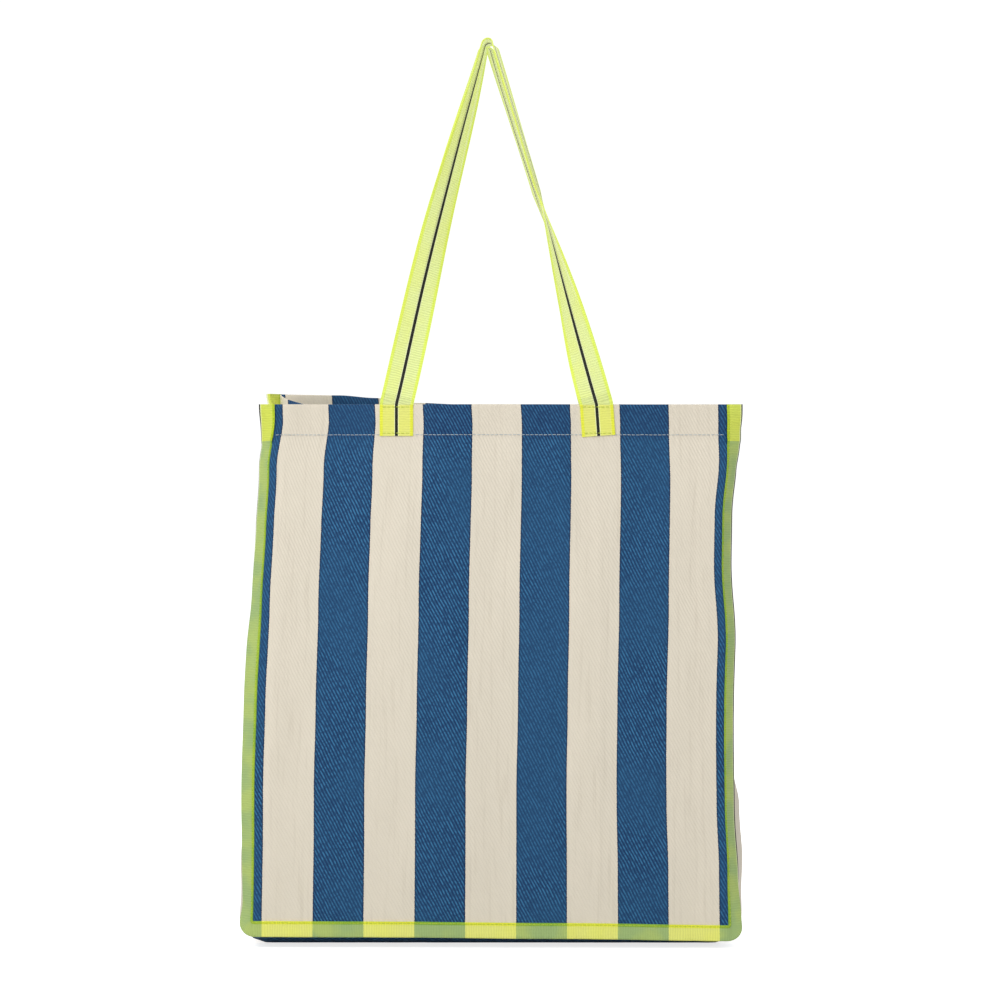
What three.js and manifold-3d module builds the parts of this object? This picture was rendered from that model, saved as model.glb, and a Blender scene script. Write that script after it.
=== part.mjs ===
// A striped woven shopping tote: two panels, a gusset that folds, webbing bindings and two webbing handles.
// Millimetres, +Z up. The bag stands on z = 0, X runs along the front and the front faces -Y.
import * as THREE from "three";
import { mergeVertices } from "three/addons/utils/BufferGeometryUtils.js";
import Module from "manifold-3d";

const wasm = await Module();
wasm.setup();

// The bag
const panelWidth = 450; // over the bindings
const rimHeight = 480;
const gussetDepth = 120; // between the front and back seam folds
const cornerRadius = 15; // of the panels' bottom corners
const clothThickness = 0.8;
const hemDepth = 25;
const baseSag = 14.8; // from the base's seams down to its middle crease

// The webbing: bindings and handles are cut from one roll
const webbingWidth = 30;
const webbingThickness = 0.7;
const bindingFold = 1; // webbing used up in a binding's fold
const turnUnder = 33; // doubled length at each end of a binding
const threadWidth = 0.6;
const threadLift = 0.4;
const rowDrop = 1; // from the handles' sewn ends down to the row that closes the hem

// The handles
const handleSpacing = 180; // between the middles of the two sewn ends
const handleRise = 335; // from the rim to the top of the loop
const peakOffset = -8; // of the loop's top from the middle
const peakRadius = 6; // where the loop lies over a hook
const rootHeight = 8; // the stretch that stands up from the rim before the loop swings
const endDepth = 25; // of a sewn end on the panel
const stitchInset = 2.5; // from a strip's edge or end to the stitches along it

// The handles' quarter twists: degrees, the share of the leg they take, and how late they come
const leftTwist = { turn: 90, reach: 1, power: 1.15 };
const rightTwist = { turn: 102, reach: 0.62, power: 0.85 };

// Clearances
const layerGap = 0.1; // between sewn layers
const seamStep = 1; // from a binding's inner edge to the seam
const foldRoom = 1.9; // from a seam's fold axis to the sewn layers beside it
const axisGap = 0.5; // from a seam's fold axis to the leaf that turns about it
const creaseGap = 0.35; // from a crease's mid-plane to the leaf on each side
const creaseLift = 0.6; // from a side leaf's mid-plane out to the crease's axis
const leafClearance = 1.2; // side leaves over the base, and base leaves inside the sides
const hemSetBack = 4; // from a hem layer's end to the fold beside it
const meetGap = 1.5; // between the two loops at the hook
const rootGap = 0.6; // from the rim to a handle's root
const loopGap = 0.3; // from a root to its loop

// What one folded half of a binding covers, and from a panel's edge to its seam
const bindingFace = (webbingWidth - bindingFold) / 2;
const seamInset = bindingFace + seamStep;

// Places worked out from those: half widths in X, and the front layers' places in Y from inside to outside
const seamX = panelWidth / 2 - seamInset;
const seamY = -gussetDepth / 2;
const allowanceIn = seamY - foldRoom;
const allowanceOut = allowanceIn - clothThickness;
const panelIn = allowanceOut - layerGap;
const panelOut = panelIn - clothThickness;
const bindingOut = panelOut - layerGap - webbingThickness;
const bindingIn = allowanceIn + layerGap + webbingThickness;
const strapIn = panelOut - layerGap;
const strapMid = strapIn - webbingThickness / 2;
const strapOut = strapIn - webbingThickness;
const hemRow = rimHeight - hemDepth - rowDrop;
const baseSlope = Math.atan2(baseSag, gussetDepth / 2);
const handleLean = Math.asin((-2 * strapMid - webbingWidth - meetGap) / (2 * handleRise));

const blue = { color: 0x2d5a87, roughness: 0.85, metalness: 0 };
const cream = { color: 0xe4d8c8, roughness: 0.85, metalness: 0 };
const neon = { color: 0xe3ec5a, roughness: 0.6, metalness: 0 };
const thread = { color: 0xe8e6dc, roughness: 0.7, metalness: 0 };

const xAxis = new THREE.Vector3(1, 0, 0);
const yAxis = new THREE.Vector3(0, 1, 0);
const zAxis = new THREE.Vector3(0, 0, 1);

function named(name, geometry, finish) {
  const mesh = new THREE.Mesh(geometry, new THREE.MeshStandardMaterial(finish));
  mesh.name = name;
  return mesh;
}

// An outline drawn across and up, extruded along X or Y from one place to another.
function slab(outline, normal, from, to) {
  const geometry = new THREE.ExtrudeGeometry(outline, {
    depth: to - from,
    bevelEnabled: false,
    curveSegments: 5,
  });
  geometry.translate(0, 0, normal === "y" ? -to : from);
  const basis = new THREE.Matrix4();
  if (normal === "y") basis.makeBasis(xAxis, zAxis, yAxis.clone().negate());
  else basis.makeBasis(yAxis, zAxis, xAxis);
  return geometry.applyMatrix4(basis);
}

function box(x, y, z) {
  const geometry = new THREE.BoxGeometry(x[1] - x[0], y[1] - y[0], z[1] - z[0]);
  return geometry.translate((x[0] + x[1]) / 2, (y[0] + y[1]) / 2, (z[0] + z[1]) / 2);
}

function polygon(points) {
  return new THREE.Shape(points.map(([across, up]) => new THREE.Vector2(across, up)));
}

function solidOf(geometry) {
  const bare = geometry.index ? geometry.toNonIndexed() : geometry.clone();
  bare.deleteAttribute("normal");
  bare.deleteAttribute("uv");
  const merged = mergeVertices(bare, 1e-4);
  return new wasm.Manifold(
    new wasm.Mesh({
      numProp: 3,
      vertProperties: merged.attributes.position.array,
      triVerts: new Uint32Array(merged.index.array),
    }),
  );
}

function geometryOf(solid) {
  const mesh = solid.getMesh();
  const geometry = new THREE.BufferGeometry();
  geometry.setAttribute("position", new THREE.BufferAttribute(new Float32Array(mesh.vertProperties), 3));
  geometry.setIndex(new THREE.BufferAttribute(new Uint32Array(mesh.triVerts), 1));
  geometry.computeVertexNormals();
  return geometry;
}

// The panel's edge, moved in by inset: half width, bottom and corner radius.
function edgeAt(inset) {
  return { x: panelWidth / 2 - inset, z: inset, r: Math.max(cornerRadius - inset, 1) };
}

// Down the left edge, round the bottom corners and up the right edge, added to a shape.
function addEdge(shape, inset) {
  const { x, z, r } = edgeAt(inset);
  shape.lineTo(-x, z + r);
  shape.absarc(-x + r, z + r, r, Math.PI, 1.5 * Math.PI, false);
  shape.lineTo(x - r, z);
  shape.absarc(x - r, z + r, r, -0.5 * Math.PI, 0, false);
}

function panelOutline(inset) {
  const { x } = edgeAt(inset);
  const shape = new THREE.Shape();
  shape.moveTo(-x, rimHeight);
  addEdge(shape, inset);
  shape.lineTo(x, rimHeight);
  return shape;
}

// A U-shaped band between two insets from the panel's edge, open at the top.
function bandOutline(outer, inner, top) {
  const out = edgeAt(outer);
  const { x, z, r } = edgeAt(inner);
  const shape = new THREE.Shape();
  shape.moveTo(-out.x, top);
  addEdge(shape, outer);
  shape.lineTo(out.x, top);
  shape.lineTo(x, top);
  shape.lineTo(x, z + r);
  shape.absarc(x - r, z + r, r, 0, -0.5 * Math.PI, true);
  shape.lineTo(-x + r, z);
  shape.absarc(-x + r, z + r, r, -0.5 * Math.PI, -Math.PI, true);
  shape.lineTo(-x, top);
  return shape;
}

// A panel with its rim turned in once.
function panel() {
  const inset = webbingThickness + layerGap;
  const hemX = seamX - hemSetBack;
  const sheet = solidOf(slab(panelOutline(inset), "y", panelOut, panelIn));
  const hem = solidOf(
    box([-hemX, hemX], [allowanceOut, allowanceIn], [rimHeight - hemDepth, rimHeight]),
  );
  const fold = solidOf(
    box([-hemX, hemX], [panelOut, allowanceIn], [rimHeight - clothThickness, rimHeight]),
  );
  return geometryOf(sheet.add(hem).add(fold));
}

// Webbing folded in half round the seam allowance, its two ends turned under at the rim.
function bindingTape() {
  const whole = solidOf(slab(bandOutline(0, bindingFace, rimHeight), "y", bindingOut, bindingIn));
  const doubled = (side) => {
    const x = [side * panelWidth / 2, side * (panelWidth / 2 - bindingFace)].sort((a, b) => a - b);
    const y = [bindingOut - webbingThickness, bindingIn + webbingThickness];
    return solidOf(box(x, y, [rimHeight - turnUnder, rimHeight]));
  };
  const slot = solidOf(
    slab(
      bandOutline(webbingThickness, bindingFace + clothThickness, rimHeight + webbingThickness),
      "y",
      panelOut - layerGap,
      allowanceIn + layerGap,
    ),
  );
  return geometryOf(whole.add(doubled(-1)).add(doubled(1)).subtract(slot));
}

// A strip of webbing through a list of stations, each a centre and the direction across the strip.
function webbing(stations) {
  const corners = [];
  stations.forEach(({ centre, across }, i) => {
    const before = stations[Math.max(i - 1, 0)].centre;
    const after = stations[Math.min(i + 1, stations.length - 1)].centre;
    const along = after.clone().sub(before);
    const face = along.cross(across).setLength(webbingThickness / 2);
    const half = across.clone().multiplyScalar(webbingWidth / 2);
    for (const [a, f] of [[-1, -1], [1, -1], [1, 1], [-1, 1]]) {
      corners.push(centre.clone().addScaledVector(half, a).addScaledVector(face, f));
    }
  });
  const last = corners.length - 4;
  const faces = [[0, 2, 1], [0, 3, 2], [last, last + 1, last + 2], [last, last + 2, last + 3]];
  for (let at = 0; at < last; at += 4) {
    for (let k = 0; k < 4; k++) {
      const [a, b] = [at + k, at + ((k + 1) % 4)];
      const [farA, farB] = [a + 4, b + 4];
      // Both broad faces are split along the same diagonal, so that thin webbing can twist.
      if (k === 2) faces.push([a, b, farA], [b, farB, farA]);
      else faces.push([a, b, farB], [a, farB, farA]);
    }
  }
  const geometry = new THREE.BufferGeometry().setFromPoints(corners);
  geometry.setIndex(faces.flat());
  geometry.computeVertexNormals();
  return geometry;
}

// A handle's leg runs straight from its sewn end to the round top: its run across for a height of 1, and its top.
function handleLeg(side) {
  const across = peakOffset - side * handleSpacing / 2;
  const up = handleRise - peakRadius;
  const angle = Math.atan2(across, up) + side * Math.asin(peakRadius / Math.hypot(across, up));
  const length = Math.sqrt(across ** 2 + up ** 2 - peakRadius ** 2);
  return { start: side * handleSpacing / 2, angle, top: length * Math.cos(angle) };
}

// How far the webbing has turned at a share of the way up a leg.
function twistAt({ turn, reach, power }, share) {
  const turned = THREE.MathUtils.clamp(share / reach, 0, 1) ** power;
  return THREE.MathUtils.degToRad(turn) * turned;
}

// A station on a leg. The webbing starts level with the rim and comes square to the leg as it leaves it.
function legStation(side, height) {
  const { start, angle, top } = handleLeg(side);
  const twist = twistAt(side < 0 ? leftTwist : rightTwist, (height - rootHeight) / (top - rootHeight));
  const settle = Math.min((height - rootHeight) / webbingWidth, 1);
  const tilt = Math.max(settle, 0) * angle;
  const flat = new THREE.Vector3(Math.cos(tilt), 0, -Math.sin(tilt)).multiplyScalar(-side);
  return {
    centre: new THREE.Vector3(start + height * Math.tan(angle), 0, height),
    across: flat.multiplyScalar(Math.cos(twist)).addScaledVector(yAxis, Math.sin(twist)),
  };
}

function rootStations(side) {
  const heights = side < 0 ? [rootGap, rootHeight] : [rootHeight, rootGap];
  return heights.map((height) => {
    const { start, angle } = handleLeg(side);
    const centre = new THREE.Vector3(start + height * Math.tan(angle), 0, height);
    return { centre, across: xAxis.clone().multiplyScalar(-side) };
  });
}

// Up the left leg, over the round top and down the right leg.
function loopStations() {
  const legSteps = 15;
  const peakSteps = 8;
  const left = handleLeg(-1);
  const right = handleLeg(1);
  const stations = [];
  for (let i = 0; i < legSteps; i++) {
    const share = i / legSteps;
    stations.push(legStation(-1, THREE.MathUtils.lerp(rootHeight + loopGap, left.top, share)));
  }
  for (let i = 0; i <= peakSteps; i++) {
    const share = i / peakSteps;
    const turned = THREE.MathUtils.lerp(left.angle, Math.PI + right.angle, share);
    const along = new THREE.Vector3(Math.sin(turned), 0, Math.cos(turned));
    const outward = new THREE.Vector3(-along.z, 0, along.x);
    const twist = THREE.MathUtils.degToRad(THREE.MathUtils.lerp(leftTwist.turn, rightTwist.turn, share));
    const centre = new THREE.Vector3(peakOffset, 0, handleRise - peakRadius);
    stations.push({
      centre: centre.addScaledVector(outward, peakRadius),
      across: outward.negate().multiplyScalar(Math.cos(twist)).addScaledVector(yAxis, Math.sin(twist)),
    });
  }
  for (let i = legSteps - 1; i >= 0; i--) {
    const share = i / legSteps;
    stations.push(legStation(1, THREE.MathUtils.lerp(rootHeight + loopGap, right.top, share)));
  }
  return stations;
}

// One side of the bag, modelled as the front.
function bagSide(side) {
  const group = new THREE.Group();
  const threadOn = (y) => [y - layerGap - threadLift, y - layerGap];
  const threadAt = (z) => [z - threadWidth / 2, z + threadWidth / 2];
  const allowance = bandOutline(webbingThickness + layerGap, seamInset, rimHeight);
  const stitchBand = bandOutline(
    bindingFace - stitchInset - threadWidth,
    bindingFace - stitchInset,
    rimHeight - turnUnder - stitchInset,
  );
  const stitch = threadOn(bindingOut);
  group.add(
    named(`${side}_panel`, panel(), side === "front" ? cream : blue),
    named(`${side}_gusset_allowance`, slab(allowance, "y", allowanceOut, allowanceIn), blue),
    named(`${side}_binding_tape`, bindingTape(), neon),
    named(`${side}_binding_stitch`, slab(stitchBand, "y", ...stitch), thread),
    named(
      `${side}_hem_stitch`,
      box([-seamX + seamStep, seamX - seamStep], threadOn(panelOut), threadAt(hemRow)),
      thread,
    ),
  );
  const handle = new THREE.Group();
  handle.position.set(0, strapMid, rimHeight);
  handle.rotation.x = -handleLean;
  for (const [hand, sign] of [["left", -1], ["right", 1]]) {
    const middle = sign * handleSpacing / 2;
    const strapX = [middle - webbingWidth / 2, middle + webbingWidth / 2];
    const rowX = [strapX[0] + stitchInset, strapX[1] - stitchInset];
    group.add(
      named(
        `${side}_${hand}_handle_end`,
        box(strapX, [strapOut, strapIn], [rimHeight - endDepth, rimHeight]),
        neon,
      ),
      named(
        `${side}_${hand}_lower_stitch`,
        box(rowX, threadOn(strapOut), threadAt(rimHeight - endDepth + stitchInset)),
        thread,
      ),
      named(
        `${side}_${hand}_upper_stitch`,
        box(rowX, threadOn(strapOut), threadAt(rimHeight - stitchInset)),
        thread,
      ),
    );
    handle.add(named(`${side}_${hand}_handle_root`, webbing(rootStations(sign)), neon));
  }
  handle.add(named(`${side}_handle_loop`, webbing(loopStations()), neon));
  group.add(handle);
  return group;
}

// Half of one side wall, from a seam to the wall's middle crease, modelled as the left front one.
function sideLeaf(name) {
  const rise = (along) => seamInset - along * Math.tan(baseSlope) + clothThickness / 2 + leafClearance;
  const from = seamY + axisGap;
  const to = -creaseGap;
  const outline = polygon([
    [from, rise(axisGap)],
    [to, rise(to - seamY)],
    [to, rimHeight],
    [from, rimHeight],
  ]);
  const half = clothThickness / 2;
  const hemY = [seamY + hemSetBack, -hemSetBack];
  const hemIn = -seamX + half + layerGap;
  const sheet = solidOf(slab(outline, "x", -seamX - half, -seamX + half));
  const hem = solidOf(box([hemIn, hemIn + clothThickness], hemY, [rimHeight - hemDepth, rimHeight]));
  const fold = solidOf(
    box([-seamX - half, hemIn + clothThickness], hemY, [rimHeight - clothThickness, rimHeight]),
  );
  const row = box(
    [-seamX - half - layerGap - threadLift, -seamX - half - layerGap],
    hemY,
    [hemRow - threadWidth / 2, hemRow + threadWidth / 2],
  );
  const group = new THREE.Group();
  group.add(
    named(`${name}_leaf`, geometryOf(sheet.add(hem).add(fold)), blue),
    named(`${name}_hem_stitch`, row, thread),
  );
  return group;
}

// Half of the base, from the front seam down to the middle crease.
function baseLeaf(name) {
  const along = new THREE.Vector2(Math.cos(baseSlope), -Math.sin(baseSlope));
  const up = new THREE.Vector2(-along.y, along.x).multiplyScalar(clothThickness / 2);
  const seam = new THREE.Vector2(seamY, seamInset);
  const from = seam.clone().addScaledVector(along, axisGap);
  const to = seam.clone().addScaledVector(along, (gussetDepth / 2 - creaseGap) / along.x);
  const outline = new THREE.Shape([
    from.clone().sub(up),
    to.clone().sub(up),
    to.clone().add(up),
    from.clone().add(up),
  ]);
  const endX = seamX - clothThickness / 2 - leafClearance;
  return named(name, slab(outline, "x", -endX, endX), cream);
}

// The same piece seen in a mirror across the bag's depth, its width, or both.
function mirrored(object, acrossX, acrossY) {
  const group = new THREE.Group();
  group.scale.set(acrossX ? -1 : 1, acrossY ? -1 : 1, 1);
  group.add(object);
  return group;
}

const bag = new THREE.Group();
bag.add(
  bagSide("front"),
  mirrored(bagSide("back"), false, true),
  sideLeaf("left_front_gusset"),
  mirrored(sideLeaf("left_rear_gusset"), false, true),
  mirrored(sideLeaf("right_front_gusset"), true, false),
  mirrored(sideLeaf("right_rear_gusset"), true, true),
  baseLeaf("base_front_leaf"),
  mirrored(baseLeaf("base_rear_leaf"), false, true),
);

export default bag;
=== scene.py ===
import math

import bmesh
import bpy
import numpy as np
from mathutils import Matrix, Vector


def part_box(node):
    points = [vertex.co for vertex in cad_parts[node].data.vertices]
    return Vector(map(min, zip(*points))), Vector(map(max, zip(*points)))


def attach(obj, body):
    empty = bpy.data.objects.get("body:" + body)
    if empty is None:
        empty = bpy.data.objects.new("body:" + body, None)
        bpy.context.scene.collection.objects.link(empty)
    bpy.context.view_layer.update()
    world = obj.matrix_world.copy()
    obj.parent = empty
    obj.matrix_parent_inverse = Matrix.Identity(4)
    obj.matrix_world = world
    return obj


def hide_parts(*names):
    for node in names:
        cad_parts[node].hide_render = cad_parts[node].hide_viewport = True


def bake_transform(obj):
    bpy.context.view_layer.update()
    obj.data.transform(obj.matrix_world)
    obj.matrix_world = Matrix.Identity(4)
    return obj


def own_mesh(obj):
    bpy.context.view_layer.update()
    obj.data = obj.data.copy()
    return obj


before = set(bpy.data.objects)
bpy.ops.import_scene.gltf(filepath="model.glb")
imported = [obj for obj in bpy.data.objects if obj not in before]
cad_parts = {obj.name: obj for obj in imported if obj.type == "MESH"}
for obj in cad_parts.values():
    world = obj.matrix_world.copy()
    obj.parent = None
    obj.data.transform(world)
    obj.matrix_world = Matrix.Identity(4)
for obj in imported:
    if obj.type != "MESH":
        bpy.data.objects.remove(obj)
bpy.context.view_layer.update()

# where things are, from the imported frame

panelLow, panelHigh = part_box("front_panel")
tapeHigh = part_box("front_binding_tape")[1]
endLow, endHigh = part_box("front_left_handle_end")

bag = {
    "halfWidth": tapeHigh.x,
    "rim": panelHigh.z,
    "face": -panelLow.y,  # outer face of a panel, from the middle of the bag
    "tapeWidth": 0.0145,  # of each face of the folded binding
    "seamInset": 0.0155,  # seam line from the edge of the binding
    "hem": 0.0295,
    "hemRow": 0.0275,  # from the rim down to the stitches of the hem
    "edge": 0.0007,  # a panel's cloth ends this far inside the edge of the binding
    "cloth": 0.0008,
    "layerGap": 0.00012,
    "cornerRadius": 0.015,
    "stripe": 0.045,
    "threadRadius": 0.0003,
}
seamX = bag["halfWidth"] - bag["seamInset"]

binding = {
    "thickness": 0.0007,
    "stack": 0.0018,  # of the layers that it folds round
    "bulge": 0.0013,
    "turnUnder": 0.033,
    "row": 0.0131,  # from the folded edge in to the stitches
}

# camera

def makeCamera():
    camera = bpy.data.objects.new("camera", bpy.data.cameras.new("camera"))
    camera.data.lens = 127.5
    camera.data.sensor_width = 36
    camera.location = (0, -3.2, 0.401)
    camera.rotation_euler = (math.radians(90), 0, 0)
    camera.data.clip_start = 0.05
    camera.data.clip_end = 200
    bpy.context.scene.collection.objects.link(camera)
    bpy.context.scene.camera = camera

makeCamera()
print("camera placed")

# small maths helpers

def smooth(value, low, high):
    t = np.clip((np.asarray(value, float) - low) / (high - low), 0, 1)
    return t * t * (3 - 2 * t)

def keyed(value, keys):
    value = np.asarray(value, float)
    places, amounts = zip(*keys)
    result = np.full(value.shape, float(amounts[0]))
    for (a, low), (b, high) in zip(keys[:-1], keys[1:]):
        result = np.where(value >= a, low + (high - low) * smooth(value, a, b), result)
    return np.where(value >= places[-1], amounts[-1], result)

def ripple(u, v, seed, count, longest, shortest, upright):
    chance = np.random.default_rng(seed)
    total = np.zeros(np.broadcast(u, v).shape)
    for _ in range(count):
        wavelength = chance.uniform(shortest, longest)
        heading = chance.normal(0, 1 - upright)  # 0 runs straight up the cloth
        phase = chance.uniform(0, 2 * math.pi)
        across = (u * math.cos(heading) + v * math.sin(heading)) / wavelength
        total += np.sin(2 * math.pi * across + phase) * wavelength / longest
    return total / count

def unit(vectors):
    return vectors / np.maximum(np.linalg.norm(vectors, axis=-1, keepdims=True), 1e-12)

# the shape that the cloth hangs in

hang = {
    "sway": ((0, -0.0005), (0.13, -0.0004), (0.21, 0.001), (0.3, 0.0022), (0.42, 0.0041),
             (0.46, 0.0041), (0.48, 0.003)),
    "leftSpread": ((0, 0.018), (0.1, 0.013), (0.2, 0.012), (0.3, 0.007), (0.37, 0.001),
                   (0.42, -0.006), (0.48, -0.018)),
    "rightSpread": ((0, 0.018), (0.06, 0.014), (0.12, 0), (0.2, -0.011), (0.3, -0.005),
                    (0.41, -0.008), (0.457, -0.018), (0.48, -0.012)),
    "stillLine": 0.04,  # the upright line that neither spreads nor narrows
    "rimLean": 0.0057,  # the left corner of the rim stands further in
    "edgeLean": 0.0038,
    "backLean": 0.3,  # the back's share of both
    "rightRoll": 0.0048,
    "belly": 0.003,
    "wave": 0.0056,
    "ripple": 0.0014,
    # place, swing, turns, width and height of each
    "creases": ((0.094, 0.004, 9, 0.0022, 0.0008), (0.181, 0.003, 7, 0.0025, -0.0005)),
    "finBend": 0.005,
    "leftFin": ((0, 20), (0.03, 42), (0.08, 34), (0.12, 30), (0.26, 30), (0.31, 44), (0.44, 44), (0.48, 0)),
    "rightFin": ((0, 14), (0.02, 30), (0.05, 42), (0.1, 46), (0.42, 46), (0.455, 22), (0.48, 0)),
    "backFins": {"share": 0.8, "left": 46, "right": 10},  # of the front's, and degrees more at the rim
    "footLift": ((-0.225, 0.0004), (-0.1, 0.0), (0.06, -0.0014), (0.225, -0.0036)),
    "backFoot": 0.6,  # the back's share of the foot's lift
    "backRise": ((-0.225, 0.0125), (-0.15, 0.0115), (-0.115, 0.009), (-0.075, 0.0045),
                 (-0.03, 0.003), (0.06, 0.001), (0.225, 0)),
    "strapPlaces": (-0.09, 0.09),
    "strapSpan": 0.026,  # half the width that a strap holds still
    "strapShift": 0.004,
    "pinch": 0.002,
    "rimWave": 0.0035,
}

def leanShift(u, v, share):
    fromLine = u - hang["stillLine"]
    spread = np.where(fromLine < 0, keyed(v, hang["leftSpread"]), keyed(v, hang["rightSpread"]))
    rimPart = hang["rimLean"] * np.clip((-u - 0.05) / 0.16, 0, 1) ** 1.5 * smooth(v, 0.422, 0.468)
    edgePart = hang["edgeLean"] * np.clip((-u - 0.14) / 0.07, 0, 1) ** 1.5 * smooth(v, 0.15, 0.4)
    edgePart = edgePart * (1 - 0.6 * smooth(v, 0.42, 0.47))
    rolled = smooth(v, 0.26, 0.34) * (1 - smooth(v, 0.38, 0.44))
    roll = hang["rightRoll"] * np.clip((u - 0.165) / 0.04, 0, 1) * rolled
    return keyed(v, hang["sway"]) + spread * fromLine + (rimPart + edgePart) * share - roll

def roundCorners(u, v):
    radius = bag["cornerRadius"] - bag["edge"]
    cornerU = bag["halfWidth"] - bag["cornerRadius"]
    cornerV = bag["cornerRadius"]
    du = np.abs(u) - cornerU
    dv = cornerV - v
    reach = np.hypot(du, dv)
    pull = np.where((du > 0) & (dv > 0) & (reach > radius), radius / np.maximum(reach, 1e-9), 1)
    roundU = np.where(pull < 1, np.sign(u) * (cornerU + du * pull), u)
    return roundU, np.where(pull < 1, cornerV - dv * pull, v)

def sideSurface(side):
    isFront = side < 0
    seed = 3 if isFront else 8
    leanShare = 1 if isFront else hang["backLean"]
    footShare = 1 if isFront else hang["backFoot"]
    fins = hang["backFins"]

    def surface(u, v):
        u, v = np.broadcast_arrays(np.asarray(u, float), np.asarray(v, float))
        over = np.maximum(np.abs(u) - (seamX - 0.002), 0)
        degrees = np.where(u < 0, keyed(v, hang["leftFin"]), keyed(v, hang["rightFin"]))
        if not isFront:
            added = np.where(u < 0, fins["left"], fins["right"]) * smooth(v, 0.42, 0.465)
            degrees = degrees * fins["share"] + added
        turned = np.radians(degrees)
        ramp = smooth(over, 0, hang["finBend"])
        inner = np.abs(u) - over
        x = np.sign(u) * (inner + over * (1 - (1 - np.cos(turned)) * ramp)) + leanShift(u, v, leanShare)
        away = 1 - smooth(np.abs(u), 0.19, seamX)
        offStraps = 1 - sum(np.exp(-((u - c) / hang["strapSpan"]) ** 4) for c in hang["strapPlaces"])
        rimward = smooth(v, 0.36, 0.45)
        out = hang["belly"] * np.cos(math.pi * u / 0.45) * np.sin(math.pi * np.clip(v, 0, 0.48) / 0.5)
        out = out + hang["wave"] * ripple(u, v, seed, 9, 0.16, 0.045, 0.86) * smooth(v, 0.0, 0.08)
        out = out + hang["ripple"] * ripple(u, v, seed + 20, 9, 0.06, 0.022, 0.55)
        for line, swing, turns, width, height in hang["creases"]:
            out = out + height * np.exp(-((u - line - swing * np.sin(v * turns)) / width) ** 2)
        still = (1 - rimward) + rimward * offStraps
        rim = hang["rimWave"] * rimward * offStraps * np.cos(math.pi * u / 0.18) * np.exp(-(u / 0.2) ** 8)
        out = (out * still + rim) * away
        pinch = hang["pinch"] * smooth(np.abs(u), 0.15, seamX) * smooth(v, 0.36, 0.48)
        y = side * (bag["face"] + out - (over * np.sin(turned) * ramp + pinch))
        z = v + keyed(u, hang["footLift"]) * footShare * (1 - smooth(v, 0, 0.13))
        if not isFront:
            z = z + keyed(u, hang["backRise"]) * smooth(v, 0.26, 0.48)
        return np.stack([x, y, z], -1)

    return surface, -side

frontSide, backSide = sideSurface(-1), sideSurface(1)

def place(shape, a, b, h):
    surface, facing = shape
    nudge = 0.0004  # the step that finds the slope of the surface
    a, b, h = np.broadcast_arrays(np.asarray(a, float), np.asarray(b, float), np.asarray(h, float))
    alongA = surface(a + nudge, b) - surface(a - nudge, b)
    alongB = surface(a, b + nudge) - surface(a, b - nudge)
    normal = unit(np.cross(alongA, alongB)) * facing
    return surface(a, b) + normal * h[..., None], normal

# the side walls and base, one strip from rim to rim

wall = {
    "half": 0.06,
    "corner": 0.012,
    "leftBulge": ((0.0155, 0.0155), (0.035, 0.015), (0.07, 0.0175), (0.11, 0.013), (0.17, 0.008),
                  (0.30, 0.006), (0.38, 0.002), (0.42, 0)),
    "rightBulge": ((0.0155, 0.0155), (0.035, 0.016), (0.075, 0.0195), (0.115, 0.0185), (0.15, 0.013),
                   (0.36, 0.0125), (0.42, 0.004), (0.45, 0)),
    "fold": 0.034,  # the middle crease folds inward at the rim
    "foldFrom": 0.33,
    "dip": 0.008,
    "lowest": -0.0094,  # the base sags below the fins
    "inset": 0.0012,  # the strip starts this far inside the panels
    "stripeShift": 0.0315,
}
wallStraight = bag["rim"] - bag["seamInset"] - wall["corner"]
wallArc = wall["corner"] * math.pi / 2
baseStraight = 2 * (seamX - wall["corner"])
stripLength = 2 * wallStraight + 2 * wallArc + baseStraight

def stripPath(s):
    s = np.asarray(s, float)
    mirror = s > stripLength / 2
    run = np.where(mirror, stripLength - s, s)
    angle = np.clip((run - wallStraight) / wall["corner"], 0, math.pi / 2)
    u = -seamX + wall["corner"] * (1 - np.cos(angle))
    v = bag["rim"] - np.minimum(run, wallStraight) - wall["corner"] * np.sin(angle)
    u = u + np.maximum(run - wallStraight - wallArc, 0)
    return np.where(mirror, -u, u), v, angle, mirror

def wallSurface(s, t):
    s, t = np.broadcast_arrays(np.asarray(s, float), np.asarray(t, float))
    u, v, angle, mirror = stripPath(s)
    front, _ = place(frontSide, u, v, -wall["inset"])
    back, _ = place(backSide, u, v, -wall["inset"])
    share = ((t + wall["half"]) / (2 * wall["half"]))[..., None]
    middle = front * (1 - share) + back * share
    tau = np.abs(t) / wall["half"]
    left, right = keyed(v, wall["leftBulge"]), keyed(v, wall["rightBulge"])
    bulge = np.where(mirror, right, left)
    low = 1 - smooth(v, 0.025, 0.07)
    power = 2.0 + 5.0 * low
    sidePart = bulge * (1 - tau ** power)
    fold = wall["fold"] * smooth(v, wall["foldFrom"], bag["rim"]) * np.where(mirror, 0.9, 1)
    soft = np.sqrt(tau ** 2 + 0.004) / math.sqrt(1.004)
    crease = fold * np.clip((1 - soft) / (1 - math.sqrt(0.004 / 1.004)), 0, 1) ** 1.6
    dip = wall["dip"] * (1 - tau) * smooth(v, 0.4, bag["rim"]) * np.where(mirror, 0.5, 1)
    crumple = 0.0016 * ripple(t * 1.5, v, 31, 8, 0.09, 0.03, 0.3) * (1 - tau ** 4) * smooth(v, 0.03, 0.1)
    sidePart = sidePart - crease + crumple
    basePart = (middle[..., 2] - wall["lowest"]) * (1 - tau ** 5)
    turn = smooth(angle, 0, math.pi / 2)
    offset = sidePart * (1 - turn) + basePart * turn
    outX = np.where(mirror, 1, -1) * np.cos(angle)
    outZ = -np.sin(angle)
    return middle + np.stack([outX * offset, np.zeros_like(offset), outZ * offset - dip], -1)

wallShape = (wallSurface, -1)

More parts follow.
